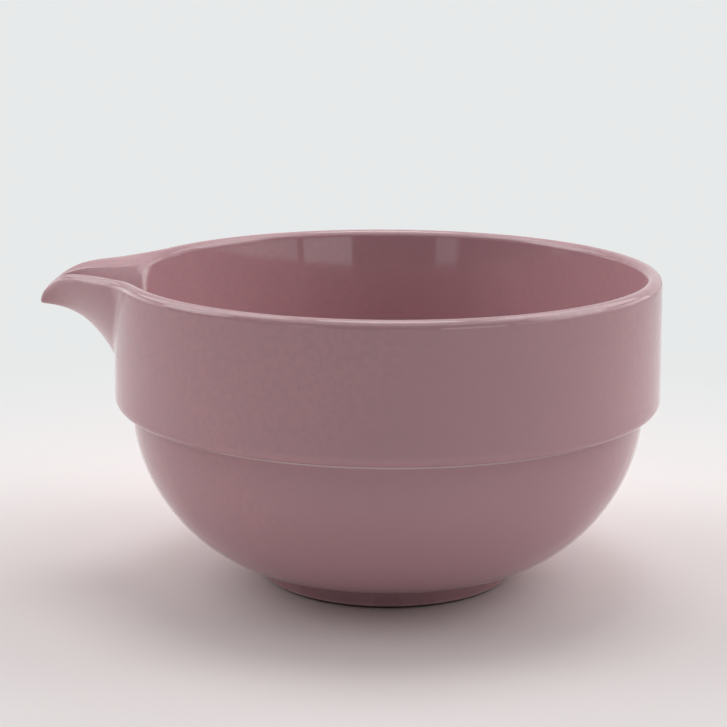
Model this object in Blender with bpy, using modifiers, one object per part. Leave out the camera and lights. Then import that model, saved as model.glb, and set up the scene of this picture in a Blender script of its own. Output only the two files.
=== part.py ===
"""Spouted matcha bowl: a turned basin, a rim collar, a beak let into a gate in the collar, and a foot ring.

Metres, +Z up. The bowl stands on Z = 0 and its spout points along -X. The origin is under the middle of
the whole length, so the axis of the turned pieces lies a little to +X of it.
"""

import math

import bmesh
import bpy
import numpy as np

# Driving dimensions of the turned pieces
BOWL_HEIGHT = 0.0750
COLLAR_RADIUS = 0.0650
COLLAR_FLARE = 0.0004
RIM_THICKNESS = 0.0038
INNER_LEAN = math.radians(7.0)
LEDGE_HEIGHT = 0.0430
LEDGE_STEP = 0.0037
LEDGE_ROUND = 0.0027
LAP_HEIGHT = 0.0040
FLOOR_THICKNESS = 0.0042
FOOT_HEIGHT = 0.0046
FOOT_RADIUS = 0.0302
FOOT_WALL = 0.0050
FOOT_ROUND = 0.0008

# Driving dimensions of the spout. Depths are measured down from the rim
SPOUT_REACH = 0.0196
SPOUT_HALF_WIDTH = 0.0198
TIP_HALF_WIDTH = 0.0042
KEEL_TIP_DEPTH = 0.0095
KEEL_RISE = 0.0022
TIP_THICKNESS = 0.0015
LEVEL_LIP = 0.0030
LIP_DIP = 0.0004
CHANNEL_HALF_WIDTH = 0.0133
CHANNEL_TIP_HALF_WIDTH = 0.0016
ROOT_THICKNESS = 0.0070
RIM_BLEND = 0.0026
KEEL_BLEND = 0.0008
CHANNEL_BLEND = 0.0012
TIP_ROUND = 0.0007
LAND_SLOPE = math.radians(10.0)
GATE_TOP_HALF_WIDTH = 0.0300
GATE_FLOOR_HALF_WIDTH = 0.0080
GATE_SILL = 0.0020
KEEL_CLEARANCE = 0.0015

# How full the basin is: the share of its run along the floor or base, and of its height up the wall, before
# the curve turns. The floor and wall are inside, the base and belly outside
FLOOR_FULLNESS = 0.80
WALL_FULLNESS = 0.68
BASE_FULLNESS = 0.405
BELLY_FULLNESS = 0.555

# How the spout's curves bend: 1 is a straight line, and more is a stronger bend
BEAK_SECTION_BEND = 1.35
CHANNEL_SECTION_BEND = 1.25
KEEL_BEND = 2.9
CHANNEL_BEND = 1.7
BLEND_BEND = 14.0
LIP_BEND = 3.4

# Gap between two pieces that are stuck together
SEAM = 0.0003

# Smoothness
TURN_STEPS = 72
CURVE_STEPS = 12
ROUND_STEPS = 5
FOOT_STEPS = 3
SPOUT_COLUMNS = 44
SPOUT_ROWS = 13
LIP_ROWS = 4
TRACE_POINTS = 400
HALVINGS = 40
SHARP_ANGLE = math.radians(40.0)
MERGE_DISTANCE = 0.00001
# Handle length, as a share of the radius, that makes a cubic curve a quarter of a circle
QUARTER_HANDLE = 0.5523

# Sizes that follow from the driving dimensions
RIM_ROUND = RIM_THICKNESS / 2
RIM_EDGE = BOWL_HEIGHT - RIM_ROUND
LEDGE_EDGE = LEDGE_HEIGHT + LEDGE_ROUND
INNER_RIM_RADIUS = COLLAR_RADIUS - RIM_THICKNESS
LEDGE_RADIUS = COLLAR_RADIUS + COLLAR_FLARE
BASIN_RADIUS = COLLAR_RADIUS - LEDGE_STEP
FLOOR_HEIGHT = FOOT_HEIGHT + FLOOR_THICKNESS
LAP_TOP = LEDGE_HEIGHT + LAP_HEIGHT
TIP_DISTANCE = COLLAR_RADIUS + SPOUT_REACH - TIP_THICKNESS / 2
TIP_DROP = KEEL_TIP_DEPTH - TIP_THICKNESS
LIP_FALL_START = COLLAR_RADIUS + LEVEL_LIP
GATE_FLOOR = LAP_TOP + GATE_SILL
GATE_FLOOR_DEPTH = BOWL_HEIGHT - GATE_FLOOR
KEEL_ROOT_DEPTH = GATE_FLOOR_DEPTH - KEEL_CLEARANCE
CHANNEL_ROOT_DEPTH = KEEL_ROOT_DEPTH - ROOT_THICKNESS
AXIS_X = (COLLAR_RADIUS + SPOUT_REACH - LEDGE_RADIUS) / 2

# Finish
GLAZE_COLOUR = (0.52, 0.27, 0.30, 1.0)
GLAZE_ROUGHNESS = 0.20
FOOT_COLOUR = (0.45, 0.22, 0.25, 1.0)
FOOT_ROUGHNESS = 0.35


def clear_scene():
    for item in list(bpy.data.objects):
        bpy.data.objects.remove(item, do_unlink=True)


def collection(name):
    made = bpy.data.collections.new(name)
    bpy.context.scene.collection.children.link(made)
    return made


def material(name, colour, roughness):
    made = bpy.data.materials.new(name)
    made.use_nodes = True
    shader = made.node_tree.nodes["Principled BSDF"]
    shader.inputs["Base Color"].default_value = colour
    shader.inputs["Roughness"].default_value = roughness
    shader.inputs["Metallic"].default_value = 0.0
    return made


def place(name, mesh, group, axis, finish=None):
    """A new object on the bowl's axis, in a collection."""
    made = bpy.data.objects.new(name, mesh)
    group.objects.link(made)
    made.parent = axis
    if finish:
        mesh.materials.append(finish)
    return made


def arc(centre, radius, start, end, steps=ROUND_STEPS):
    """Points on a circle in the profile's plane, with the angles in degrees."""
    angles = np.radians(np.linspace(start, end, steps + 1))
    return [(centre[0] + radius * math.cos(a), centre[1] + radius * math.sin(a)) for a in angles]


def bezier(first, handle_a, handle_b, last, steps):
    """Points on a cubic curve, with both ends."""
    t = np.linspace(0.0, 1.0, steps + 1)[:, None]
    ends = (1 - t) ** 3 * np.array(first) + t**3 * np.array(last)
    return ends + 3 * t * (1 - t) * ((1 - t) * np.array(handle_a) + t * np.array(handle_b))


def inner_radius(height):
    """The leaning inner wall, from the lap up to the rim."""
    return INNER_RIM_RADIUS - (RIM_EDGE - height) * math.tan(INNER_LEAN)


def outer_radius(height):
    """The collar's outer wall, which flares a little towards the ledge."""
    return COLLAR_RADIUS + COLLAR_FLARE * (RIM_EDGE - height) / (RIM_EDGE - LEDGE_EDGE)


def turn(name, profile, closed, group, axis, finish):
    """A profile in the XZ plane, run down its outer side, turned round the bowl's axis."""
    mesh = bpy.data.meshes.new(name)
    count = len(profile)
    edges = [(i, i + 1) for i in range(count - 1)]
    if closed:
        edges.append((count - 1, 0))
    mesh.from_pydata([(r, 0.0, z) for r, z in profile], edges, [])
    made = place(name, mesh, group, axis, finish)
    screw = made.modifiers.new("turned", "SCREW")
    screw.axis = "Z"
    screw.steps = TURN_STEPS
    screw.render_steps = TURN_STEPS
    screw.use_merge_vertices = True
    screw.merge_threshold = MERGE_DISTANCE
    screw.use_smooth_shade = True
    return made


def basin_profile():
    """From the middle of the floor up the inside, over the lip inside the collar, and down to the base."""
    shoulder = inner_radius(LEDGE_HEIGHT)
    bowl_depth = LEDGE_HEIGHT - FLOOR_HEIGHT
    handle = WALL_FULLNESS * bowl_depth
    inside = bezier(
        (0.0, FLOOR_HEIGHT),
        (FLOOR_FULLNESS * shoulder, FLOOR_HEIGHT),
        (shoulder - handle * math.sin(INNER_LEAN), LEDGE_HEIGHT - handle * math.cos(INNER_LEAN)),
        (shoulder, LEDGE_HEIGHT),
        CURVE_STEPS,
    )
    lip = [(inner_radius(LAP_TOP), LAP_TOP), (BASIN_RADIUS, LAP_TOP)]
    # The belly leaves the collar upright and comes in level at the top of the foot
    outside = bezier(
        (BASIN_RADIUS, LEDGE_HEIGHT),
        (BASIN_RADIUS, LEDGE_HEIGHT - BELLY_FULLNESS * (LEDGE_HEIGHT - FOOT_HEIGHT)),
        (FOOT_RADIUS + BASE_FULLNESS * (BASIN_RADIUS - FOOT_RADIUS), FOOT_HEIGHT),
        (FOOT_RADIUS, FOOT_HEIGHT),
        CURVE_STEPS,
    )
    return [tuple(p) for p in inside] + lip + [tuple(p) for p in outside] + [(0.0, FOOT_HEIGHT)]


def collar_profile():
    """From the crest of the rim down the outside, under the ledge, round the lap and up the inside."""
    rim_centre = (COLLAR_RADIUS - RIM_ROUND, RIM_EDGE)
    ledge_centre = (LEDGE_RADIUS - LEDGE_ROUND, LEDGE_EDGE)
    rebate = BASIN_RADIUS + SEAM
    shoulder = LAP_TOP + SEAM
    outer_rim = arc(rim_centre, RIM_ROUND, 90, 0)
    ledge = arc(ledge_centre, LEDGE_ROUND, 0, -90)
    lap = [(rebate, LEDGE_HEIGHT), (rebate, shoulder), (inner_radius(shoulder), shoulder)]
    inner_rim = arc(rim_centre, RIM_ROUND, 180, 90)[:-1]
    return outer_rim + ledge + lap + inner_rim


def foot_profile():
    """A ring with rounded edges where it meets the table."""
    top = FOOT_HEIGHT - SEAM
    inner = FOOT_RADIUS - FOOT_WALL
    outer_edge = arc((FOOT_RADIUS - FOOT_ROUND, FOOT_ROUND), FOOT_ROUND, 0, -90, FOOT_STEPS)
    inner_edge = arc((inner + FOOT_ROUND, FOOT_ROUND), FOOT_ROUND, -90, -180, FOOT_STEPS)
    return [(FOOT_RADIUS, top)] + outer_edge + inner_edge + [(inner, top)]


def smooth_max(a, b, width):
    """The larger of two values, blended where they are close, so that two walls meet in a fillet."""
    overlap = np.clip(width - np.abs(a - b), 0.0, None)
    return np.maximum(a, b) + overlap**2 / (4 * width)


def beak_half_width(distance):
    """Half the beak's outer width at rim level, at a distance from the bowl's axis."""
    share = (distance - COLLAR_RADIUS) / (TIP_DISTANCE - COLLAR_RADIUS)
    return SPOUT_HALF_WIDTH + (TIP_HALF_WIDTH - SPOUT_HALF_WIDTH) * share


def keel_depth(distance):
    """The keel drops in a straight line from the tip, and then curves down into the collar."""
    share = np.clip((TIP_DISTANCE - distance) / (TIP_DISTANCE - COLLAR_RADIUS), 0.0, None)
    curve = KEEL_ROOT_DEPTH - KEEL_RISE - KEEL_TIP_DEPTH
    return KEEL_TIP_DEPTH + KEEL_RISE * share + curve * share**KEEL_BEND


def channel_half_width(distance):
    """Half the channel's width at rim level, from the bowl's inner wall to the tip."""
    share = (distance - INNER_RIM_RADIUS) / (TIP_DISTANCE - INNER_RIM_RADIUS)
    return CHANNEL_HALF_WIDTH + (CHANNEL_TIP_HALF_WIDTH - CHANNEL_HALF_WIDTH) * share


def channel_depth(distance):
    share = np.clip((TIP_DISTANCE - distance) / (TIP_DISTANCE - INNER_RIM_RADIUS), 0.0, None)
    return TIP_DROP + (CHANNEL_ROOT_DEPTH - TIP_DROP) * share**CHANNEL_BEND


def lip_height(distance):
    """The crest of the lips: a small dip as they leave the collar, and then a fall to the tip."""
    share = np.clip((distance - LIP_FALL_START) / (TIP_DISTANCE - LIP_FALL_START), 0.0, None)
    gate_edge = math.sqrt(COLLAR_RADIUS**2 - gate_half_width(RIM_EDGE) ** 2)
    dip = np.clip((distance - gate_edge) / (LIP_FALL_START - gate_edge), 0.0, 1.0)
    eased = dip**2 * (3 - 2 * dip)
    return BOWL_HEIGHT - LIP_DIP * eased - (TIP_DROP - LIP_DIP) * share**LIP_BEND


def reach(angle, height, half_width, depth, bend):
    """How far a form of V sections reaches from the bowl's axis, along a line at this angle and height."""
    below = BOWL_HEIGHT - height
    near = np.zeros_like(height)
    far = np.full_like(height, COLLAR_RADIUS + 2 * SPOUT_REACH)
    for _ in range(HALVINGS):
        middle = (near + far) / 2
        distance = middle * np.cos(angle)
        fullness = np.clip(1 - (below / depth(distance)) ** bend, 0.0, None) ** (1 / bend)
        inside = half_width(distance) * fullness > middle * np.sin(angle)
        near = np.where(inside, middle, near)
        far = np.where(inside, far, middle)
    return near


def gate_half_width(height):
    """The gate in the collar narrows from the rim down to its floor."""
    share = (BOWL_HEIGHT - height) / GATE_FLOOR_DEPTH
    return GATE_TOP_HALF_WIDTH + (GATE_FLOOR_HALF_WIDTH - GATE_TOP_HALF_WIDTH) * share


def inner_round(distance):
    """How the lip's inner edge rounds over: like the rim beside the collar, and less towards the tip."""
    share = np.clip((distance - INNER_RIM_RADIUS) / (TIP_DISTANCE - INNER_RIM_RADIUS), 0.0, 1.0)
    return RIM_ROUND + (TIP_ROUND - RIM_ROUND) * share


def root_blend(height):
    """The fillet between beak and collar: crisp up from the keel, and wide where the lips leave the rim."""
    share = np.clip(1 - (RIM_EDGE - height) / (KEEL_ROOT_DEPTH - RIM_ROUND), 0.0, 1.0)
    return KEEL_BLEND + (RIM_BLEND - KEEL_BLEND) * share**BLEND_BEND


def channel_blend(height):
    return np.full_like(height, CHANNEL_BLEND)


BEAK = (outer_radius, beak_half_width, keel_depth, BEAK_SECTION_BEND)
CHANNEL = (inner_radius, channel_half_width, channel_depth, CHANNEL_SECTION_BEND)


def wall_line(column, form, blend):
    """Points up one wall of the spout, from the gate's floor to the height of the rim.

    The column runs from -1 at one side of the gate to 1 at the other.
    """
    wall_radius, half_width, depth, bend = form
    height = np.linspace(GATE_FLOOR, BOWL_HEIGHT, TRACE_POINTS)
    wall = wall_radius(height)
    angle = np.arcsin(abs(column) * gate_half_width(height) / wall)
    radius = smooth_max(wall, reach(angle, height, half_width, depth, bend), blend(height))
    side = math.copysign(1.0, column)
    return np.stack([-radius * np.cos(angle), side * radius * np.sin(angle), height], axis=1)


def below_lip(line, depth):
    """A wall's line up to this far below the lip's crest, in evenly spaced points."""
    room = lip_height(-line[:, 0]) - depth - line[:, 2]
    last = int(np.argmax(room < 0))
    share = room[last - 1] / (room[last - 1] - room[last])
    end = line[last - 1] + share * (line[last] - line[last - 1])
    return even(np.vstack([line[:last], end]), SPOUT_ROWS)


def even(line, count):
    """The same line with evenly spaced points."""
    steps = np.linalg.norm(np.diff(line, axis=0), axis=1)
    along = np.concatenate([[0.0], np.cumsum(steps)])
    wanted = np.linspace(0.0, along[-1], count)
    return np.stack([np.interp(wanted, along, line[:, i]) for i in range(3)], axis=1)


def unit(vector):
    return vector / np.linalg.norm(vector)


def collar_width(column):
    """The plain collar's thickness along X at this column, just under the rounding of its rim."""
    offset = column * gate_half_width(RIM_EDGE)
    return math.sqrt(COLLAR_RADIUS**2 - offset**2) - math.sqrt(INNER_RIM_RADIUS**2 - offset**2)


def quarter(wall, crest, level, slope):
    """A rounded edge from the top of a wall, up towards a level, to the lip's crest at this slope."""
    foot = wall[-1]
    towards = foot - crest
    towards[2] = slope * np.linalg.norm(towards[:2])
    return bezier(
        foot,
        foot + QUARTER_HANDLE * (level - foot[2]) * unit(wall[-1] - wall[-2]),
        crest + QUARTER_HANDLE * towards,
        crest,
        LIP_ROWS,
    )


def spout_section(column):
    """A closed loop up the outer wall, over the lip, across its sloping land and down the inner wall."""
    outer = below_lip(wall_line(column, BEAK, root_blend), RIM_ROUND)
    inner_wall = wall_line(column, CHANNEL, channel_blend)
    across = below_lip(inner_wall, RIM_ROUND)[-1] - outer[-1]
    across[2] = 0.0
    width = np.linalg.norm(across)
    plain = collar_width(column)
    fall = max(width - plain, 0.0) * math.tan(LAND_SLOPE)
    inner = below_lip(inner_wall, inner_round(-outer[-1, 0]) + fall)
    crest = outer[-1] + min(plain, width) / 2 * across / width
    crest[2] = lip_height(-crest[0])
    land = lip_height(-inner[-1, 0]) - fall
    slope = (land - crest[2]) / np.linalg.norm((inner[-1] - crest)[:2])
    over = quarter(outer, crest, crest[2], -max(slope, 0.0))
    down = quarter(inner, crest, land, slope)[::-1]
    return np.concatenate([outer, over[1:], down[1:-1], inner[::-1]])


def spout_columns():
    """Columns across the gate, spaced evenly along both edges of the lip."""
    fine = np.linspace(-1.0, 1.0, 2 * TRACE_POINTS + 1)
    height = np.full_like(fine, RIM_EDGE)
    along = np.zeros_like(fine)
    for wall_radius, half_width, depth, bend in (BEAK, CHANNEL):
        wall = wall_radius(height)
        angle = np.arcsin(fine * gate_half_width(height) / wall)
        radius = np.maximum(wall, reach(np.abs(angle), height, half_width, depth, bend))
        radius = np.minimum(radius, TIP_DISTANCE)
        edge = np.stack([radius * np.cos(angle), radius * np.sin(angle)], axis=1)
        steps = np.linalg.norm(np.diff(edge, axis=0), axis=1)
        along[1:] += np.cumsum(steps)
    return np.interp(np.linspace(0.0, along[-1], SPOUT_COLUMNS + 1), along, fine)


def loft(name, sections, group, axis, finish):
    """A closed body through closed sections with the same number of points."""
    shape = bmesh.new()
    rings = [[shape.verts.new(point) for point in section] for section in sections]
    count = len(rings[0])
    for left, right in zip(rings, rings[1:]):
        for i in range(count):
            following = (i + 1) % count
            shape.faces.new((left[i], left[following], right[following], right[i]))
    shape.faces.new(rings[0])
    shape.faces.new(rings[-1])
    bmesh.ops.recalc_face_normals(shape, faces=shape.faces)
    mesh = bpy.data.meshes.new(name)
    shape.to_mesh(mesh)
    shape.free()
    mesh.shade_smooth()
    mesh.set_sharp_from_angle(angle=SHARP_ANGLE)
    return place(name, mesh, group, axis, finish)


def gate_cutter(group, axis):
    """A tapered block that cuts the gate for the spout, with the seam's gap on its floor and both sides."""
    slope = (GATE_TOP_HALF_WIDTH - GATE_FLOOR_HALF_WIDTH) / GATE_FLOOR_DEPTH
    side_gap = SEAM * math.hypot(1.0, slope)
    floor = GATE_FLOOR - SEAM
    top = BOWL_HEIGHT + RIM_THICKNESS
    inner_end = INNER_RIM_RADIUS / 2
    outer_end = LEDGE_RADIUS + RIM_THICKNESS
    shape = bmesh.new()
    bmesh.ops.create_cube(shape, size=1.0)
    for corner in shape.verts:
        height = top if corner.co.z > 0 else floor
        corner.co.x = -inner_end if corner.co.x > 0 else -outer_end
        corner.co.y = math.copysign(gate_half_width(height) + side_gap, corner.co.y)
        corner.co.z = height
    mesh = bpy.data.meshes.new("gate_cutter")
    shape.to_mesh(mesh)
    shape.free()
    cutter = place("gate_cutter", mesh, group, axis)
    cutter.hide_render = True
    cutter.display_type = "WIRE"
    return cutter


def build():
    clear_scene()
    parts = collection("spouted_matcha_bowl")
    cutters = collection("cutters")
    axis = bpy.data.objects.new("bowl_axis", None)
    axis.location = (AXIS_X, 0.0, 0.0)
    parts.objects.link(axis)

    basin_glaze = material("basin_glaze", GLAZE_COLOUR, GLAZE_ROUGHNESS)
    turn("lower_bowl", basin_profile(), False, parts, axis, basin_glaze)

    collar_glaze = material("collar_glaze", GLAZE_COLOUR, GLAZE_ROUGHNESS)
    collar = turn("rim_collar", collar_profile(), True, parts, axis, collar_glaze)
    gate = collar.modifiers.new("gate", "BOOLEAN")
    gate.operation = "DIFFERENCE"
    gate.object = gate_cutter(cutters, axis)

    sections = [spout_section(column) for column in spout_columns()]
    spout_glaze = material("spout_glaze", GLAZE_COLOUR, GLAZE_ROUGHNESS)
    loft("pouring_spout", sections, parts, axis, spout_glaze)

    foot_glaze = material("foot_glaze", FOOT_COLOUR, FOOT_ROUGHNESS)
    turn("foot_ring", foot_profile(), True, parts, axis, foot_glaze)


build()
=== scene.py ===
import math

import bpy
import numpy as np
from mathutils import Matrix, Vector


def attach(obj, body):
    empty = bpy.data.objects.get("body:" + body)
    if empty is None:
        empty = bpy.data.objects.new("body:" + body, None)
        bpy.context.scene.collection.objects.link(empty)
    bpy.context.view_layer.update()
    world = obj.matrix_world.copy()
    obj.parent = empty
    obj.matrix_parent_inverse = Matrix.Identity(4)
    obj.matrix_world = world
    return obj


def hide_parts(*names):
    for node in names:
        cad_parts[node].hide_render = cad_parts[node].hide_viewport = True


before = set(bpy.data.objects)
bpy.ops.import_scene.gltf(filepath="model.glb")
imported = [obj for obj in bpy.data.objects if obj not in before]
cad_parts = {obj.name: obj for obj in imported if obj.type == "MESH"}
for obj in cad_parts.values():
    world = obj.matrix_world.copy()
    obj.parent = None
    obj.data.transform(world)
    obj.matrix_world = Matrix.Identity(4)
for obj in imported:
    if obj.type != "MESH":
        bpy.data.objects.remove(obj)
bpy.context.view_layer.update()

# Sizes of the turned pieces, the same as the solids'
BOWL_HEIGHT = 0.0750
COLLAR_RADIUS = 0.0650
COLLAR_FLARE = 0.0004
RIM_THICKNESS = 0.0038
INNER_LEAN = math.radians(7.0)
LEDGE_HEIGHT = 0.0430
LEDGE_STEP = 0.0037
LEDGE_ROUND = 0.0027
LAP_HEIGHT = 0.0040
FLOOR_THICKNESS = 0.0042
FOOT_HEIGHT = 0.0046
FOOT_RADIUS = 0.0302
FOOT_WALL = 0.0050
FOOT_ROUND = 0.0008
FLOOR_FULLNESS = 0.80
WALL_FULLNESS = 0.68
BASE_FULLNESS = 0.405
BELLY_FULLNESS = 0.555

# Sizes of the spout, the same as the solid's
SPOUT_REACH = 0.0196
SPOUT_HALF_WIDTH = 0.0198
TIP_HALF_WIDTH = 0.0042
KEEL_TIP_DEPTH = 0.0095
KEEL_RISE = 0.0022
TIP_THICKNESS = 0.0015
LEVEL_LIP = 0.0030
LIP_DIP = 0.0004
ROOT_THICKNESS = 0.0070
RIM_BLEND = 0.0026
KEEL_BLEND = 0.0008
CHANNEL_BLEND = 0.0012
TIP_ROUND = 0.0007
GATE_TOP_HALF_WIDTH = 0.0300
GATE_FLOOR_HALF_WIDTH = 0.0080
GATE_SILL = 0.0020
KEEL_CLEARANCE = 0.0015
BEAK_SECTION_BEND = 1.35
KEEL_BEND = 2.9
CHANNEL_BEND = 1.7
BLEND_BEND = 14.0
LIP_BEND = 3.4

# The spout's channel and land, gentler at the top and rounder at the bottom than the solid's
CHANNEL_HALF_WIDTH = 0.0187
CHANNEL_TIP_HALF_WIDTH = 0.0019
CHANNEL_SECTION_BEND = 0.5
# Share of the channel's width that is rounded at its bottom
CHANNEL_FLOOR = 0.42
CHANNEL_RIM_BLEND = 0.0030
CHANNEL_RIM_BEND = 4
LAND_SLOPE = math.radians(7.0)

# Soft corners that the glaze gives the fired body
LEDGE_FILLET = 0.0010
FOOT_FILLET = 0.0007
# The glaze ends in a small lip above the table, and the bare clay under it stands back
GLAZE_END = 0.0007
GLAZE_LIP_ROUND = 0.0003
CLAY_SETBACK = 0.0011

RIM_ROUND = RIM_THICKNESS / 2
RIM_EDGE = BOWL_HEIGHT - RIM_ROUND
LEDGE_EDGE = LEDGE_HEIGHT + LEDGE_ROUND
INNER_RIM_RADIUS = COLLAR_RADIUS - RIM_THICKNESS
LEDGE_RADIUS = COLLAR_RADIUS + COLLAR_FLARE
BASIN_RADIUS = COLLAR_RADIUS - LEDGE_STEP
FLOOR_HEIGHT = FOOT_HEIGHT + FLOOR_THICKNESS
LAP_TOP = LEDGE_HEIGHT + LAP_HEIGHT
TIP_DISTANCE = COLLAR_RADIUS + SPOUT_REACH - TIP_THICKNESS / 2
TIP_DROP = KEEL_TIP_DEPTH - TIP_THICKNESS
LIP_FALL_START = COLLAR_RADIUS + LEVEL_LIP
GATE_FLOOR = LAP_TOP + GATE_SILL
GATE_FLOOR_DEPTH = BOWL_HEIGHT - GATE_FLOOR
KEEL_ROOT_DEPTH = GATE_FLOOR_DEPTH - KEEL_CLEARANCE
CHANNEL_ROOT_DEPTH = KEEL_ROOT_DEPTH - ROOT_THICKNESS
AXIS_X = (COLLAR_RADIUS + SPOUT_REACH - LEDGE_RADIUS) / 2

# Fineness of the surface
GATE_COLUMNS = 160
SIDE_COLUMNS = 72
WALL_ROWS = 80
LIP_ROWS = 12
INSIDE_ROWS = 44
LAP_ROWS = 4
SILL_ROWS = 2
SKIRT_ROWS = 5
LEDGE_ROWS = 14
UNDER_LEDGE_ROWS = 3
BELLY_ROWS = 70
FILLET_ROWS = 6
FOOT_ROWS = 4
CLAY_ROWS = 3
REST_ROWS = 5
UNDERSIDE_ROWS = 8
TRACE_POINTS = 500
HALVINGS = 40

# Handle of a Bezier curve that comes close to a quarter of a circle
QUARTER_HANDLE = 0.5523
# Room kept between a fillet's ends and the points of the belly
FILLET_GAP = 0.0001
SAME_POINT = 1e-7
# Added to lengths that are divided by
TINY = 1e-12


# ---------------------------------------------------------------- spout and wall functions
def arc(centre, radius, start, end, steps):
    angles = np.radians(np.linspace(start, end, steps + 1))
    return np.stack([centre[0] + radius * np.cos(angles), centre[1] + radius * np.sin(angles)], axis=1)


def line(first, last, steps):
    t = np.linspace(0.0, 1.0, steps + 1)[:, None]
    return np.array(first) * (1 - t) + np.array(last) * t


def bezier(first, handle_a, handle_b, last, steps):
    t = np.linspace(0.0, 1.0, steps + 1)[:, None]
    ends = (1 - t) ** 3 * np.array(first) + t**3 * np.array(last)
    return ends + 3 * t * (1 - t) * ((1 - t) * np.array(handle_a) + t * np.array(handle_b))


def inner_radius(height):
    return INNER_RIM_RADIUS - (RIM_EDGE - height) * math.tan(INNER_LEAN)


def outer_radius(height):
    return COLLAR_RADIUS + COLLAR_FLARE * (RIM_EDGE - height) / (RIM_EDGE - LEDGE_EDGE)


def smooth_max(a, b, width):
    overlap = np.clip(width - np.abs(a - b), 0.0, None)
    return np.maximum(a, b) + overlap**2 / (4 * width)


def beak_half_width(distance):
    share = (distance - COLLAR_RADIUS) / (TIP_DISTANCE - COLLAR_RADIUS)
    return SPOUT_HALF_WIDTH + (TIP_HALF_WIDTH - SPOUT_HALF_WIDTH) * share


def keel_depth(distance):
    share = np.clip((TIP_DISTANCE - distance) / (TIP_DISTANCE - COLLAR_RADIUS), 0.0, None)
    curve = KEEL_ROOT_DEPTH - KEEL_RISE - KEEL_TIP_DEPTH
    return KEEL_TIP_DEPTH + KEEL_RISE * share + curve * share**KEEL_BEND


def channel_half_width(distance):
    share = (distance - INNER_RIM_RADIUS) / (TIP_DISTANCE - INNER_RIM_RADIUS)
    return CHANNEL_HALF_WIDTH + (CHANNEL_TIP_HALF_WIDTH - CHANNEL_HALF_WIDTH) * share


def channel_depth(distance):
    share = np.clip((TIP_DISTANCE - distance) / (TIP_DISTANCE - INNER_RIM_RADIUS), 0.0, None)
    return TIP_DROP + (CHANNEL_ROOT_DEPTH - TIP_DROP) * share**CHANNEL_BEND


def lip_height(distance):
    """The crest of the lips: a small dip beside the collar, and then a fall to the tip."""
    share = np.clip((distance - LIP_FALL_START) / (TIP_DISTANCE - LIP_FALL_START), 0.0, None)
    dip = np.clip((distance - GATE_EDGE) / (LIP_FALL_START - GATE_EDGE), 0.0, 1.0)
    return BOWL_HEIGHT - LIP_DIP * dip**2 * (3 - 2 * dip) - (TIP_DROP - LIP_DIP) * share**LIP_BEND


def reach(angle, height, half_width, depth, bend, floor):
    below = (BOWL_HEIGHT - height) * (1 - floor**bend) ** (1 / bend)
    near = np.zeros_like(height)
    far = np.full_like(height, COLLAR_RADIUS + 2 * SPOUT_REACH)
    for _ in range(HALVINGS):
        middle = (near + far) / 2
        distance = middle * np.cos(angle)
        fullness = np.clip(1 - (below / depth(distance)) ** bend, 0.0, None) ** (1 / bend)
        half = half_width(distance)
        inside = half * fullness > np.hypot(middle * np.sin(angle), floor * half)
        near = np.where(inside, middle, near)
        far = np.where(inside, far, middle)
    return near


def gate_half_width(height):
    share = np.clip((BOWL_HEIGHT - height) / GATE_FLOOR_DEPTH, 0.0, 1.0)
    return GATE_TOP_HALF_WIDTH + (GATE_FLOOR_HALF_WIDTH - GATE_TOP_HALF_WIDTH) * share


GATE_EDGE = math.sqrt(COLLAR_RADIUS**2 - gate_half_width(RIM_EDGE) ** 2)


def inner_round(distance):
    share = np.clip((distance - INNER_RIM_RADIUS) / (TIP_DISTANCE - INNER_RIM_RADIUS), 0.0, 1.0)
    return RIM_ROUND + (TIP_ROUND - RIM_ROUND) * share


def root_blend(height):
    share = np.clip(1 - (RIM_EDGE - height) / (KEEL_ROOT_DEPTH - RIM_ROUND), 0.0, 1.0)
    return KEEL_BLEND + (RIM_BLEND - KEEL_BLEND) * share**BLEND_BEND


def channel_blend(height):
    share = np.clip(1 - (RIM_EDGE - height) / CHANNEL_ROOT_DEPTH, 0.0, 1.0)
    return CHANNEL_BLEND + (CHANNEL_RIM_BLEND - CHANNEL_BLEND) * share**CHANNEL_RIM_BEND


BEAK = (outer_radius, beak_half_width, keel_depth, BEAK_SECTION_BEND, 0.0)
CHANNEL = (inner_radius, channel_half_width, channel_depth, CHANNEL_SECTION_BEND, CHANNEL_FLOOR)


def wall_line(column, form, blend):
    wall_radius, *section = form
    height = np.linspace(GATE_FLOOR, BOWL_HEIGHT, TRACE_POINTS)
    wall = wall_radius(height)
    angle = np.arcsin(abs(column) * gate_half_width(height) / wall)
    radius = smooth_max(wall, reach(angle, height, *section), blend(height))
    side = math.copysign(1.0, column)
    return np.stack([-radius * np.cos(angle), side * radius * np.sin(angle), height], axis=1)


def even(points, count):
    steps = np.linalg.norm(np.diff(points, axis=0), axis=1)
    along = np.concatenate([[0.0], np.cumsum(steps)])
    wanted = np.linspace(0.0, along[-1], count)
    return np.stack([np.interp(wanted, along, points[:, i]) for i in range(3)], axis=1)


def below_lip(points, depth):
    room = lip_height(-points[:, 0]) - depth - points[:, 2]
    last = int(np.argmax(room < 0))
    share = room[last - 1] / (room[last - 1] - room[last])
    end = points[last - 1] + share * (points[last] - points[last - 1])
    return even(np.vstack([points[:last], end]), WALL_ROWS + 1)


def unit(vector):
    return vector / np.linalg.norm(vector)


def collar_width(column):
    offset = column * gate_half_width(RIM_EDGE)
    return math.sqrt(COLLAR_RADIUS**2 - offset**2) - math.sqrt(INNER_RIM_RADIUS**2 - offset**2)


def quarter(wall, crest, level, slope):
    """A rounded edge from a wall's top, up towards a level, to the crest, which it meets at this slope."""
    foot = wall[-1]
    towards = foot - crest
    towards[2] = slope * np.linalg.norm(towards[:2])
    return bezier(
        foot,
        foot + QUARTER_HANDLE * (level - foot[2]) * unit(wall[-1] - wall[-2]),
        crest + QUARTER_HANDLE * towards,
        crest,
        LIP_ROWS,
    )


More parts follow.
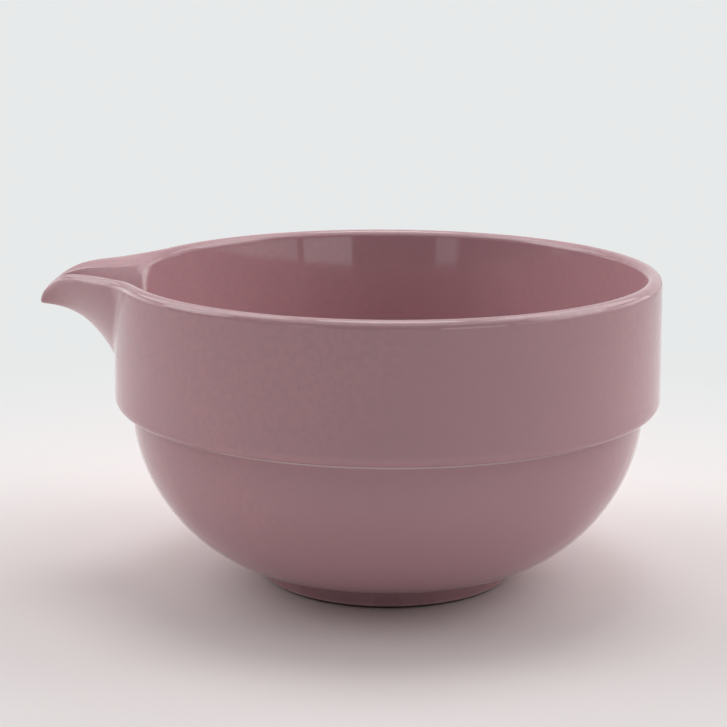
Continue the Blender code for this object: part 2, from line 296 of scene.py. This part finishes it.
def spout_section(column):
    """Up the inner wall, over the lip and down the outer wall, between the two levels of the gate's floor."""
    outer = below_lip(wall_line(column, BEAK, root_blend), RIM_ROUND)
    inner_wall = wall_line(column, CHANNEL, channel_blend)
    across = below_lip(inner_wall, RIM_ROUND)[-1] - outer[-1]
    across[2] = 0.0
    width = np.linalg.norm(across)
    plain = collar_width(column)
    fall = max(width - plain, 0.0) * math.tan(LAND_SLOPE)
    inner = below_lip(inner_wall, inner_round(-outer[-1, 0]) + fall)
    crest = outer[-1] + min(plain, width) / 2 * across / width
    crest[2] = lip_height(-crest[0])
    land = lip_height(-inner[-1, 0]) - fall
    slope = (land - crest[2]) / np.linalg.norm((inner[-1] - crest)[:2])
    up = quarter(inner, crest, land, slope)
    down = quarter(outer, crest, crest[2], -max(slope, 0.0))[::-1]
    return np.concatenate([inner, up[1:], down[1:], outer[::-1][1:]])


def gate_columns():
    """Columns across the gate from -1 to 1, spaced evenly along both edges of the lip."""
    fine = np.linspace(-1.0, 1.0, 2 * TRACE_POINTS + 1)
    height = np.full_like(fine, RIM_EDGE)
    along = np.zeros_like(fine)
    for wall_radius, *section in (BEAK, CHANNEL):
        wall = wall_radius(height)
        angle = np.arcsin(fine * gate_half_width(height) / wall)
        radius = np.maximum(wall, reach(np.abs(angle), height, *section))
        radius = np.minimum(radius, TIP_DISTANCE)
        edge = np.stack([radius * np.cos(angle), radius * np.sin(angle)], axis=1)
        along[1:] += np.cumsum(np.linalg.norm(np.diff(edge, axis=0), axis=1))
    return np.interp(np.linspace(0.0, along[-1], GATE_COLUMNS + 1), along, fine)


# ---------------------------------------------------------------- profile of the turned surface
def inside_profile():
    """From the middle of the floor up to the gate's floor level, on the inside."""
    shoulder = inner_radius(LEDGE_HEIGHT)
    handle = WALL_FULLNESS * (LEDGE_HEIGHT - FLOOR_HEIGHT)
    curve = bezier(
        (0.0, FLOOR_HEIGHT),
        (FLOOR_FULLNESS * shoulder, FLOOR_HEIGHT),
        (shoulder - handle * math.sin(INNER_LEAN), LEDGE_HEIGHT - handle * math.cos(INNER_LEAN)),
        (shoulder, LEDGE_HEIGHT),
        INSIDE_ROWS,
    )
    lap = (inner_radius(LAP_TOP), LAP_TOP)
    sill = (inner_radius(GATE_FLOOR), GATE_FLOOR)
    return [curve, line((shoulder, LEDGE_HEIGHT), lap, LAP_ROWS), line(lap, sill, SILL_ROWS)]


def collar_wall():
    """The plain collar beside the gate: up the inside, over the rim and down the outside."""
    rim_centre = (COLLAR_RADIUS - RIM_ROUND, RIM_EDGE)
    inner = line((inner_radius(GATE_FLOOR), GATE_FLOOR), (INNER_RIM_RADIUS, RIM_EDGE), WALL_ROWS)
    rim = arc(rim_centre, RIM_ROUND, 180, 0, 2 * LIP_ROWS)
    outer = line((COLLAR_RADIUS, RIM_EDGE), (outer_radius(GATE_FLOOR), GATE_FLOOR), WALL_ROWS)
    return np.concatenate([inner, rim[1:], outer[1:]])


def ledge_profile():
    """From the gate's floor level down the outside, round the ledge and under it, to the basin."""
    centre = (LEDGE_RADIUS - LEDGE_ROUND, LEDGE_EDGE)
    wall = line((outer_radius(GATE_FLOOR), GATE_FLOOR), (LEDGE_RADIUS, LEDGE_EDGE), SKIRT_ROWS)
    edge = arc(centre, LEDGE_ROUND, 0, -90, LEDGE_ROWS)
    under = line(edge[-1], (BASIN_RADIUS + LEDGE_FILLET, LEDGE_HEIGHT), UNDER_LEDGE_ROWS)
    return [wall, edge, under]


def corner(before, point, after, radius, steps):
    """Points on an arc that rounds the corner between two straight lines."""
    a = unit(np.array(before) - point)
    b = unit(np.array(after) - point)
    half = math.acos(float(np.clip(a @ b, -1, 1))) / 2
    run = radius / math.tan(half)
    centre = point + unit(a + b) * radius / math.sin(half)
    start = np.array(point) + a * run - centre
    end = b * run + point - centre
    turn = math.pi - 2 * half
    if start[0] * end[1] - start[1] * end[0] < 0:
        turn = -turn
    angles = np.linspace(0.0, turn, steps + 1)
    c, s = np.cos(angles), np.sin(angles)
    return centre + np.stack([c * start[0] - s * start[1], s * start[0] + c * start[1]], axis=1)


def basin_outside():
    """From the fillet under the ledge down the belly and in under it, to the foot."""
    centre = (BASIN_RADIUS + LEDGE_FILLET, LEDGE_HEIGHT - LEDGE_FILLET)
    fillet = arc(centre, LEDGE_FILLET, 90, 180, FILLET_ROWS)
    belly = bezier(
        (BASIN_RADIUS, LEDGE_HEIGHT),
        (BASIN_RADIUS, LEDGE_HEIGHT - BELLY_FULLNESS * (LEDGE_HEIGHT - FOOT_HEIGHT)),
        (FOOT_RADIUS + BASE_FULLNESS * (BASIN_RADIUS - FOOT_RADIUS), FOOT_HEIGHT),
        (FOOT_RADIUS, FOOT_HEIGHT),
        BELLY_ROWS,
    )
    point = np.array([FOOT_RADIUS, FOOT_HEIGHT])
    foot = corner(point + (1.0, 0.0), point, point - (0.0, 1.0), FOOT_FILLET, FILLET_ROWS)
    below_fillet = belly[:, 1] < fillet[-1, 1] - FILLET_GAP
    outside_foot = belly[:, 0] > foot[0, 0] + FILLET_GAP
    return [fillet, belly[below_fillet & outside_foot], foot]


def foot_outside():
    """Down the foot, round its edges and up its inside."""
    inner = FOOT_RADIUS - FOOT_WALL
    top = FOOT_HEIGHT - FOOT_FILLET
    clay = FOOT_RADIUS - CLAY_SETBACK
    lip_centre = (FOOT_RADIUS - GLAZE_LIP_ROUND, GLAZE_END + GLAZE_LIP_ROUND)
    lip = arc(lip_centre, GLAZE_LIP_ROUND, 0, -90, FILLET_ROWS)
    inner_edge = arc((inner + FOOT_ROUND, FOOT_ROUND), FOOT_ROUND, -90, -180, FILLET_ROWS)
    return [
        line((FOOT_RADIUS, top), lip[0], FOOT_ROWS),
        lip,
        line(lip[-1], (clay, GLAZE_END), CLAY_ROWS),
        line((clay, GLAZE_END), (clay, 0.0), CLAY_ROWS),
        line((clay, 0.0), inner_edge[0], REST_ROWS),
        inner_edge,
        line(inner_edge[-1], (inner, top), FOOT_ROWS),
    ]


def underside():
    inner = FOOT_RADIUS - FOOT_WALL
    point = np.array([inner, FOOT_HEIGHT])
    fillet = corner(point - (0.0, 1.0), point, point - (1.0, 0.0), FOOT_FILLET, FILLET_ROWS)
    return [fillet, line(fillet[-1], (0.0, FOOT_HEIGHT), UNDERSIDE_ROWS)]


def joined(runs):
    """One run of points from several that share their ends."""
    kept = [np.array(runs[0])]
    for run in runs[1:]:
        run = np.array(run)
        gap = np.linalg.norm(run[0] - kept[-1][-1])
        kept.append(run[1:] if gap < SAME_POINT else run)
    return np.concatenate(kept)


# ---------------------------------------------------------------- one grid for the whole surface
def surface():
    """Rows from the floor's middle over the rim to the underside's middle, columns once round the bowl.

    Returns the points, and the row where each piece starts.
    """
    u = gate_columns()
    t = np.linspace(0.0, 1.0, 2 * SIDE_COLUMNS + 1)[1:-1]
    low_inner = joined(inside_profile())
    collar = collar_wall()
    low_outer = joined(ledge_profile() + basin_outside() + foot_outside() + underside())
    marks = {
        "lap": int(np.argmin(np.abs(low_inner[:, 1] - LAP_TOP))),
        "gate": len(low_inner) - 1,
        "gate_end": len(low_inner) - 1 + len(collar) - 1,
    }
    ledge = joined(ledge_profile())
    basin = joined(ledge_profile() + basin_outside())
    foot = joined(ledge_profile() + basin_outside() + foot_outside())
    marks["ledge"] = marks["gate_end"] + len(ledge) - 1
    marks["foot"] = marks["gate_end"] + len(basin) - 1
    marks["under"] = marks["gate_end"] + len(foot) - 1
    profile = np.concatenate([low_inner, collar[1:], low_outer[1:]])
    rows = len(profile)
    columns = len(u) + len(t)
    points = np.zeros((rows, columns, 3))
    middle = (marks["gate"] + marks["gate_end"]) // 2
    for i, (radius, height) in enumerate(profile):
        level = np.clip(height, GATE_FLOOR, BOWL_HEIGHT)
        wall = inner_radius(level) if i <= middle else outer_radius(level)
        opening = math.asin(gate_half_width(level) / wall)
        gate_angle = np.sign(u) * np.arcsin(np.abs(u) * gate_half_width(level) / wall)
        side_angle = opening + (2 * math.pi - 2 * opening) * t
        angle = np.concatenate([gate_angle, side_angle])
        level_points = [-radius * np.cos(angle), radius * np.sin(angle), np.full(columns, height)]
        points[i] = np.stack(level_points, axis=1)
    for j, column in enumerate(u):
        if 0 < j < len(u) - 1:
            points[marks["gate"] : marks["gate_end"] + 1, j] = spout_section(column)
    return points, marks, len(u)


def slope(before, here, after):
    """The tangent at a point from its two neighbours, which may be unevenly spaced."""
    back = here - before
    ahead = after - here
    h_back = np.linalg.norm(back, axis=-1, keepdims=True) + TINY
    h_ahead = np.linalg.norm(ahead, axis=-1, keepdims=True) + TINY
    return back / h_back * h_ahead + ahead / h_ahead * h_back


def grid_normals(points):
    across = slope(np.roll(points, 1, axis=1), points, np.roll(points, -1, axis=1))
    above = np.concatenate([points[:1], points[:-1]])
    below = np.concatenate([points[1:], points[-1:]])
    along = slope(above, points, below)
    normal = np.cross(across, along)
    normal /= np.linalg.norm(normal, axis=2, keepdims=True) + TINY
    normal[0] = (0.0, 0.0, 1.0)
    normal[-1] = (0.0, 0.0, -1.0)
    return normal


def curvature(points, normal):
    """Largest bend of the surface at each point, in 1/m: positive on an outer edge, negative in a corner."""
    def bend(other, other_normal):
        step = other - points
        return np.sum((other_normal - normal) * step, axis=2) / (np.sum(step**2, axis=2) + TINY)

    left = bend(np.roll(points, 1, axis=1), np.roll(normal, 1, axis=1))
    right = bend(np.roll(points, -1, axis=1), np.roll(normal, -1, axis=1))
    around = (left + right) / 2
    up = np.concatenate([points[:1], points[:-1]])
    up_n = np.concatenate([normal[:1], normal[:-1]])
    down = np.concatenate([points[1:], points[-1:]])
    down_n = np.concatenate([normal[1:], normal[-1:]])
    along = (bend(up, up_n) + bend(down, down_n)) / 2
    return np.where(np.abs(along) > np.abs(around), along, around)


GRID, MARKS, GATE_COUNT = surface()
NORMALS = grid_normals(GRID)
BEND = curvature(GRID, NORMALS)
ROWS, COLUMNS = GRID.shape[:2]
GATE_LEFT = 0
GATE_RIGHT = GATE_COUNT - 1


# ---------------------------------------------------------------- pieces cut from the grid
class Shell:
    """A piece of the grid with the hidden faces that close it."""

    def __init__(self, name):
        self.name = name
        self.index = {}
        self.points = []
        self.bends = []
        self.faces = []
        self.loops = []

    def grid(self, row, column):
        column %= COLUMNS
        if row in (0, ROWS - 1):
            column = 0
        return self.add(("g", row, column), GRID[row, column], BEND[row, column])

    def add(self, key, point, bend=0.0):
        if key not in self.index:
            self.index[key] = len(self.points)
            self.points.append(point)
            self.bends.append(bend)
        return self.index[key]

    def face(self, corners, normals=None):
        seen = []
        kept = []
        for i, c in enumerate(corners):
            if c not in seen:
                seen.append(c)
                kept.append(normals[i] if normals is not None else None)
        if len(seen) < 3:
            return
        self.faces.append(seen)
        self.loops.extend(kept)

    def patch(self, row_a, row_b, columns):
        """Visible faces between two rows, over these columns and the ones after them."""
        for row in range(row_a, row_b):
            for column in columns:
                cells = [(row, column), (row, column + 1), (row + 1, column + 1), (row + 1, column)]
                self.face([self.grid(r, c) for r, c in cells], [NORMALS[r, c % COLUMNS] for r, c in cells])

    def strip(self, ring_a, ring_b):
        """Hidden faces between two rings or rows of points."""
        for a, b, c, d in zip(ring_a, ring_a[1:], ring_b[1:], ring_b):
            self.face([a, b, c, d])

    def build(self, finish):
        mesh = bpy.data.meshes.new(self.name)
        offset = np.array([AXIS_X, 0.0, 0.0])
        mesh.from_pydata([tuple(p + offset) for p in self.points], [], self.faces)
        attribute = mesh.attributes.new("bend", "FLOAT", "POINT")
        attribute.data.foreach_set("value", np.array(self.bends, np.float32))
        mesh.shade_smooth()
        # Edges of the hidden faces are sharp, so that the visible ones keep the whole surface's normals
        hidden = np.array([n is None for n in self.loops])
        edge = np.zeros(len(mesh.loops), np.int32)
        mesh.loops.foreach_get("edge_index", edge)
        sharp = np.zeros(len(mesh.edges), bool)
        sharp[edge[hidden]] = True
        mesh.attributes.new("sharp_edge", "BOOLEAN", "EDGE").data.foreach_set("value", sharp)
        mesh.normals_split_custom_set([(0.0, 0.0, 0.0) if n is None else tuple(n) for n in self.loops])
        made = bpy.data.objects.new(self.name, mesh)
        bpy.context.scene.collection.objects.link(made)
        mesh.materials.append(finish)
        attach(made, "root")
        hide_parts(self.name.replace("glazed_", ""))
        return made


ALL = list(range(COLUMNS))
GATE = list(range(GATE_LEFT, GATE_RIGHT))
SIDES = list(range(GATE_RIGHT, COLUMNS))


def ring(shell, row):
    return [shell.grid(row, c) for c in ALL] + [shell.grid(row, 0)]


def ring_at(shell, name, radius, height, row):
    """A hidden ring at the angles of one of the grid's rows."""
    made = []
    for c in ALL:
        p = GRID[row, c]
        scale = radius / math.hypot(p[0], p[1])
        made.append(shell.add((name, c), np.array([p[0] * scale, p[1] * scale, height])))
    return made + made[:1]


def cap(shell, column, flip):
    """Hidden ladder of faces across the wall, at one side of the gate."""
    first, last = MARKS["gate"], MARKS["gate_end"]
    inner = [shell.grid(first + i, column) for i in range((last - first) // 2 + 1)]
    outer = [shell.grid(last - i, column) for i in range((last - first) // 2 + 1)]
    if flip:
        inner, outer = outer, inner
    shell.strip(inner, outer)


def sill(shell, flip):
    """Hidden faces across the wall, at the gate's floor."""
    inner = [shell.grid(MARKS["gate"], c) for c in GATE + [GATE_RIGHT]]
    outer = [shell.grid(MARKS["gate_end"], c) for c in GATE + [GATE_RIGHT]]
    if flip:
        inner, outer = outer, inner
    shell.strip(inner, outer)


def lap(shell, flip):
    """Hidden faces of the lap between basin and collar."""
    rings = [
        ring(shell, MARKS["lap"]),
        ring_at(shell, "lap_top", BASIN_RADIUS, LAP_TOP, MARKS["lap"]),
        ring_at(shell, "lap_foot", BASIN_RADIUS, LEDGE_HEIGHT, MARKS["ledge"]),
        ring(shell, MARKS["ledge"]),
    ]
    if flip:
        rings.reverse()
    for a, b in zip(rings, rings[1:]):
        shell.strip(a, b)


def foot_top(shell, flip):
    a = ring(shell, MARKS["foot"])
    b = ring(shell, MARKS["under"])
    if flip:
        a, b = b, a
    shell.strip(a, b)


def build_shells(glaze, foot_glaze):
    basin = Shell("glazed_lower_bowl")
    basin.patch(0, MARKS["lap"], ALL)
    basin.patch(MARKS["ledge"], MARKS["foot"], ALL)
    basin.patch(MARKS["under"], ROWS - 1, ALL)
    lap(basin, False)
    foot_top(basin, False)
    basin.build(glaze)

    collar = Shell("glazed_rim_collar")
    collar.patch(MARKS["lap"], MARKS["gate"], ALL)
    collar.patch(MARKS["gate"], MARKS["gate_end"], SIDES)
    collar.patch(MARKS["gate_end"], MARKS["ledge"], ALL)
    lap(collar, True)
    cap(collar, GATE_RIGHT, False)
    cap(collar, GATE_LEFT, True)
    sill(collar, False)
    collar.build(glaze)

    spout = Shell("glazed_pouring_spout")
    spout.patch(MARKS["gate"], MARKS["gate_end"], GATE)
    cap(spout, GATE_RIGHT, True)
    cap(spout, GATE_LEFT, False)
    sill(spout, True)
    spout.build(glaze)

    foot = Shell("glazed_foot_ring")
    foot.patch(MARKS["foot"], MARKS["under"], ALL)
    foot_top(foot, True)
    foot.build(foot_glaze)


# ---------------------------------------------------------------- materials
# Noises, each as scale, detail and roughness
CLOUDS = (26.0, 4.0, 0.55)
DRIFT = (9.0, 2.0, 0.5)
FLECKS = (620.0, 3.0, 0.65)
RAGGED_EDGE = (320.0, 3.0, 0.6)
GAP_SHADE_GRAIN = (1400.0, 2.0, 0.6)
SATIN = (60.0, 5.0, 0.6)
PEEL = (420.0, 2.0, 0.5)
SWAY = (55.0, 1.0, 0.5)
PAPER_GRAIN = (900.0, 3.0, 0.6)

# Ranges, each as the two ends that come in and, where they aren't 0 and 1, the two that go out
CLOUD_RANGE = (0.35, 0.65)
DRIFT_RANGE = (0.4, 0.7)
FLECK_RANGE = (0.38, 0.62, 0.0, 0.75)
RAGGED_RANGE = (0.2, 0.8, 0.7, 1.25)
SATIN_RANGE = (0.3, 0.7)
# Bends of the surface in 1/m: on outer edges the glaze is thin, and corners take another colour: in the pink
# glaze a pale painted highlight for the sheen in concave fillets, partly the milky look of pooled glaze; in
# the foot's glaze a darker colour
THIN_RANGE = (300.0, 900.0, 0.0, 0.5)
CORNER_COLOUR_RANGE = (-900.0, -350.0, 0.7, 0.0)
# Heights, just at the end of the glaze, below which the colour turns near-black: painted shade standing in
# for the shadow in the gap under the glaze lip, laid over the bare clay there
GAP_SHADE_RANGE = (0.00066, 0.00076, 1.0, 0.0)
GAP_SHADE_RAGGED = 0.0001

PEEL_SHARE = 0.12
RELIEF_STRENGTH = 0.10
RELIEF_HEIGHT = 0.0006


class Nodes:
    """Short hand for making and joining nodes."""

    def __init__(self, tree):
        self.tree = tree

    def new(self, kind, inputs=None, **settings):
        node = self.tree.nodes.new(kind)
        for key, value in settings.items():
            setattr(node, key, value)
        for key, value in (inputs or {}).items():
            if isinstance(value, bpy.types.NodeSocket):
                self.tree.links.new(value, node.inputs[key])
            else:
                node.inputs[key].default_value = value
        return node

    def noise(self, scale, detail, roughness, vector):
        node = self.new(
            "ShaderNodeTexNoise", {"Vector": vector, "Scale": scale, "Detail": detail, "Roughness": roughness}
        )
        return node.outputs["Fac"]

    def span(self, value, low, high, to_low=0.0, to_high=1.0):
        node = self.new(
            "ShaderNodeMapRange",
            {"Value": value, "From Min": low, "From Max": high, "To Min": to_low, "To Max": to_high},
            interpolation_type="SMOOTHSTEP",
        )
        return node.outputs["Result"]

    def mix(self, factor, a, b):
        node = self.new("ShaderNodeMix", data_type="RGBA")
        for socket, value in ((node.inputs[0], factor), (node.inputs[6], a), (node.inputs[7], b)):
            if isinstance(value, bpy.types.NodeSocket):
                self.tree.links.new(value, socket)
            else:
                socket.default_value = value
        return node.outputs[2]

    def math(self, operation, a, b):
        node = self.new("ShaderNodeMath", operation=operation)
        for socket, value in zip(node.inputs, (a, b)):
            if isinstance(value, bpy.types.NodeSocket):
                self.tree.links.new(value, socket)
            else:
                socket.default_value = value
        return node.outputs[0]


def glaze_material(name, body, warm, cool, thin, corner_colour, rough_low, rough_high, gap_shade=None):
    made = bpy.data.materials.new(name)
    made.use_nodes = True
    n = Nodes(made.node_tree)
    shader = made.node_tree.nodes["Principled BSDF"]
    where = n.new("ShaderNodeTexCoord").outputs["Object"]
    clouds = n.noise(*CLOUDS, where)
    drift = n.noise(*DRIFT, where)
    colour = n.mix(n.span(clouds, *CLOUD_RANGE), body, warm)
    colour = n.mix(n.span(drift, *DRIFT_RANGE), colour, cool)
    # Fine flecks, where the glaze broke as it cooled
    fleck = n.span(n.noise(*FLECKS, where), *FLECK_RANGE)
    colour = n.mix(fleck, colour, cool)
    bend = n.new("ShaderNodeAttribute", attribute_name="bend").outputs["Fac"]
    ragged = n.math("MULTIPLY", bend, n.span(n.noise(*RAGGED_EDGE, where), *RAGGED_RANGE))
    colour = n.mix(n.span(ragged, *THIN_RANGE), colour, thin)
    # Corners: a pale painted highlight in the pink glaze, partly the milky look of pooled glaze; darker in
    # the foot's glaze
    colour = n.mix(n.span(bend, *CORNER_COLOUR_RANGE), colour, corner_colour)
    if gap_shade:
        # Below the glaze lip the colour turns near-black: painted shade of the contact gap, over the bare
        # clay there
        height = n.new("ShaderNodeSeparateXYZ", {"Vector": where}).outputs["Z"]
        grain = n.noise(*GAP_SHADE_GRAIN, where)
        edge = n.math("ADD", height, n.math("MULTIPLY", grain, GAP_SHADE_RAGGED))
        colour = n.mix(n.span(edge, *GAP_SHADE_RANGE), colour, gap_shade)
    n.tree.links.new(colour, shader.inputs["Base Color"])
    satin = n.span(n.noise(*SATIN, where), *SATIN_RANGE, rough_low, rough_high)
    n.tree.links.new(satin, shader.inputs["Roughness"])
    shader.inputs["Specular IOR Level"].default_value = 0.5
    peel = n.noise(*PEEL, where)
    sway = n.noise(*SWAY, where)
    relief = n.math("ADD", n.math("MULTIPLY", peel, PEEL_SHARE), sway)
    bump = n.new(
        "ShaderNodeBump", {"Height": relief, "Strength": RELIEF_STRENGTH, "Distance": RELIEF_HEIGHT}
    )
    n.tree.links.new(bump.outputs["Normal"], shader.inputs["Normal"])
    return made


# ---------------------------------------------------------------- camera, floor, light
CAMERA_PLACE = Vector((0.0, -0.4929, 0.1592))
CAMERA_PITCH = 0.2143
CAMERA_YAW = -0.01175
CAMERA_ROLL = 0.0039
CAMERA_FOCUS_PIXELS = 2091.5
PHOTO_PIXELS = 727.0
SENSOR_WIDTH = 36.0
CLIP_NEAR = 0.01
CLIP_FAR = 50.0
BOWL_TURN = math.radians(3.0)

FLOOR_HALF_WIDTH = 6.0
# Near the bowl the paper is pinker: partly painted pink bounce light from the bowl, fading towards the far
# colour
PAPER_NEAR_WITH_BOUNCE = (0.86, 0.80, 0.795, 1.0)
PAPER_FAR = (0.83, 0.85, 0.85, 1.0)
PAPER_FIBRE = (0.78, 0.78, 0.78, 1.0)
PAPER_RANGE = (0.05, 0.55)
PAPER_GRAIN_RANGE = (0.3, 0.7)
PAPER_GRAIN_SHARE = 0.03
BACKDROP = (0.80, 0.82, 0.82, 1.0)
BACKDROP_RANGE = (0.06, 0.30)

# Far lamps: name, lean back, lean right, spread and strength
LAMPS = (
    ("overhead", 12.0, 0.0, 26.0, 0.70),
    ("right_side", 0.0, 61.0, 38.0, 0.80),
    ("left_side", 0.0, -62.0, 34.0, 0.72),
)
# Soft panels: name, place from the bowl's axis, facing, width, height and radiance
PANELS = (
    ("right_high", (0.26, 0.135, 0.38), (-0.8, -0.108, -0.6), 0.34, 0.34, 1.87),
    ("left_high", (-0.26, 0.10, 0.38), (0.8, -0.08, -0.6), 0.34, 0.34, 1.70),
)
# Strips that show only as reflections, with the same values as the panels
STRIPS = (
    ("right_band", (0.27, 0.0, 0.11), (-1.0, 0.0, 0.0), 0.44, 0.08, 1.1),
    ("left_band", (-0.27, 0.12, 0.11), (1.0, 0.0, 0.0), 0.26, 0.08, 1.1),
    ("right_flap", (0.185, -0.25, 0.10), (0.0, 1.0, 0.0), 0.17, 0.08, 1.4),
    ("left_flap", (-0.133, -0.25, 0.10), (0.0, 1.0, 0.0), 0.064, 0.08, 1.0),
)

BLACK = (0.0, 0.0, 0.0, 1.0)
ROOM_FRONT = (0.23, 0.23, 0.23, 1.0)
ROOM_BACK = (0.78, 0.78, 0.78, 1.0)
CEILING = (1.6, 1.6, 1.6, 1.0)
SKY_SEEN = (0.8, 0.83, 0.83, 1.0)
FRONT_RANGE = (-0.5, -0.1)
BACK_RANGE = (0.1, 0.5)
CEILING_RANGE = (0.6, 0.85)


def add_camera():
    data = bpy.data.cameras.new("camera")
    data.sensor_width = SENSOR_WIDTH
    data.lens = CAMERA_FOCUS_PIXELS * SENSOR_WIDTH / PHOTO_PIXELS
    data.clip_start = CLIP_NEAR
    data.clip_end = CLIP_FAR
    made = bpy.data.objects.new("camera", data)
    bpy.context.scene.collection.objects.link(made)
    ahead = Vector(
        (
            math.sin(CAMERA_YAW) * math.cos(CAMERA_PITCH),
            math.cos(CAMERA_YAW) * math.cos(CAMERA_PITCH),
            -math.sin(CAMERA_PITCH),
        )
    )
    level = Vector((math.cos(CAMERA_YAW), -math.sin(CAMERA_YAW), 0.0))
    above = level.cross(ahead)
    right = level * math.cos(CAMERA_ROLL) + above * math.sin(CAMERA_ROLL)
    up = above * math.cos(CAMERA_ROLL) - level * math.sin(CAMERA_ROLL)
    stand = Matrix((right, up, -ahead)).transposed().to_4x4()
    stand.translation = CAMERA_PLACE
    turn = Matrix.Rotation(BOWL_TURN, 4, "Z")
    made.matrix_world = Matrix.Translation((AXIS_X, 0.0, 0.0)) @ turn @ stand
    bpy.context.scene.camera = made


def add_floor():
    mesh = bpy.data.meshes.new("floor")
    half = FLOOR_HALF_WIDTH
    corners = [(-half, -half, 0), (half, -half, 0), (half, half, 0), (-half, half, 0)]
    mesh.from_pydata(corners, [], [(0, 1, 2, 3)])
    made = bpy.data.objects.new("floor", mesh)
    bpy.context.scene.collection.objects.link(made)
    finish = bpy.data.materials.new("floor_paper")
    finish.use_nodes = True
    n = Nodes(finish.node_tree)
    shader = finish.node_tree.nodes["Principled BSDF"]
    where = n.new("ShaderNodeTexCoord").outputs["Object"]
    distance = n.new("ShaderNodeVectorMath", {0: where}, operation="LENGTH").outputs["Value"]
    # The paper's pink near the bowl is partly painted bounce light, fading out with distance
    away = n.span(distance, *PAPER_RANGE)
    grain = n.span(n.noise(*PAPER_GRAIN, where), *PAPER_GRAIN_RANGE)
    colour = n.mix(away, PAPER_NEAR_WITH_BOUNCE, PAPER_FAR)
    colour = n.mix(n.math("MULTIPLY", grain, PAPER_GRAIN_SHARE), colour, PAPER_FIBRE)
    n.tree.links.new(colour, shader.inputs["Base Color"])
    shader.inputs["Roughness"].default_value = 0.9
    shader.inputs["Specular IOR Level"].default_value = 0.1
    # Far from the bowl the camera sees a pale backdrop
    seen = n.new("ShaderNodeLightPath").outputs["Is Camera Ray"]
    far = n.math("MULTIPLY", n.span(distance, *BACKDROP_RANGE), seen)
    backdrop = n.new("ShaderNodeEmission", {"Color": BACKDROP, "Strength": 1.0})
    blend = n.new("ShaderNodeMixShader", {0: far, 1: shader.outputs["BSDF"], 2: backdrop.outputs["Emission"]})
    n.tree.links.new(blend.outputs["Shader"], finish.node_tree.nodes["Material Output"].inputs["Surface"])
    mesh.materials.append(finish)


def add_panel(name, place, facing, width, height, radiance, gloss_only=False):
    """A soft light panel. Its size and the light that each point of it gives are set apart."""
    data = bpy.data.lights.new(name, "AREA")
    data.shape = "RECTANGLE"
    data.size = width
    data.size_y = height
    data.energy = radiance * math.pi * width * height
    made = bpy.data.objects.new(name, data)
    bpy.context.scene.collection.objects.link(made)
    made.location = Vector(place) + Vector((AXIS_X, 0.0, 0.0))
    made.rotation_euler = Vector(facing).to_track_quat("-Z", "Y").to_euler()
    made.visible_camera = False
    made.visible_diffuse = not gloss_only


def add_lamp(name, lean_back, lean_right, spread, strength):
    """A far lamp. Its leans are from straight overhead, and its spread is how wide it looks, in degrees."""
    data = bpy.data.lights.new(name, "SUN")
    data.energy = strength
    data.angle = math.radians(spread)
    made = bpy.data.objects.new(name, data)
    bpy.context.scene.collection.objects.link(made)
    made.rotation_euler = (math.radians(-lean_back), math.radians(lean_right), 0.0)


def add_light():
    for lamp in LAMPS:
        add_lamp(*lamp)
    for panel in PANELS:
        add_panel(*panel)
    for strip in STRIPS:
        add_panel(*strip, gloss_only=True)

    world = bpy.data.worlds.new("studio")
    bpy.context.scene.world = world
    world.use_nodes = True
    n = Nodes(world.node_tree)
    background = world.node_tree.nodes["Background"]
    path = n.new("ShaderNodeLightPath")
    where = n.new("ShaderNodeTexCoord").outputs["Generated"]
    heading = n.new("ShaderNodeSeparateXYZ", {"Vector": where})
    front = n.mix(n.span(heading.outputs["Y"], *FRONT_RANGE), ROOM_FRONT, BLACK)
    room = n.mix(n.span(heading.outputs["Y"], *BACK_RANGE), front, ROOM_BACK)
    # The ceiling shows only as a reflection
    ceiling = n.mix(path.outputs["Is Diffuse Ray"], CEILING, BLACK)
    room = n.mix(n.span(heading.outputs["Z"], *CEILING_RANGE), room, ceiling)
    shown = n.mix(path.outputs["Is Camera Ray"], room, SKY_SEEN)
    n.tree.links.new(shown, background.inputs["Color"])


add_camera()
add_floor()
add_light()
PINK = glaze_material(
    "pink_glaze",
    body=(0.49, 0.275, 0.300, 1.0),
    warm=(0.52, 0.285, 0.305, 1.0),
    cool=(0.46, 0.265, 0.295, 1.0),
    thin=(0.66, 0.44, 0.46, 1.0),
    # pale painted highlight in the concave corners, partly the milky look of pooled glaze
    corner_colour=(0.60, 0.50, 0.50, 1.0),
    rough_low=0.05,
    rough_high=0.10,
)
# The foot's glaze is a darker copy of the pink glaze: painted shade for the foot, which stands in the bowl's
# shadow; it is also rougher
SHADED_FOOT_GLAZE = glaze_material(
    "foot_glaze",
    body=(0.45, 0.24, 0.265, 1.0),
    warm=(0.48, 0.255, 0.275, 1.0),
    cool=(0.42, 0.235, 0.26, 1.0),
    thin=(0.60, 0.40, 0.41, 1.0),
    corner_colour=(0.33, 0.16, 0.18, 1.0),
    rough_low=0.24,
    rough_high=0.36,
    # near-black painted shade for the gap under the glaze lip, over the bare clay there
    gap_shade=(0.09, 0.065, 0.058, 1.0),
)
build_shells(PINK, SHADED_FOOT_GLAZE)

bpy.context.scene.view_settings.view_transform = "Standard"
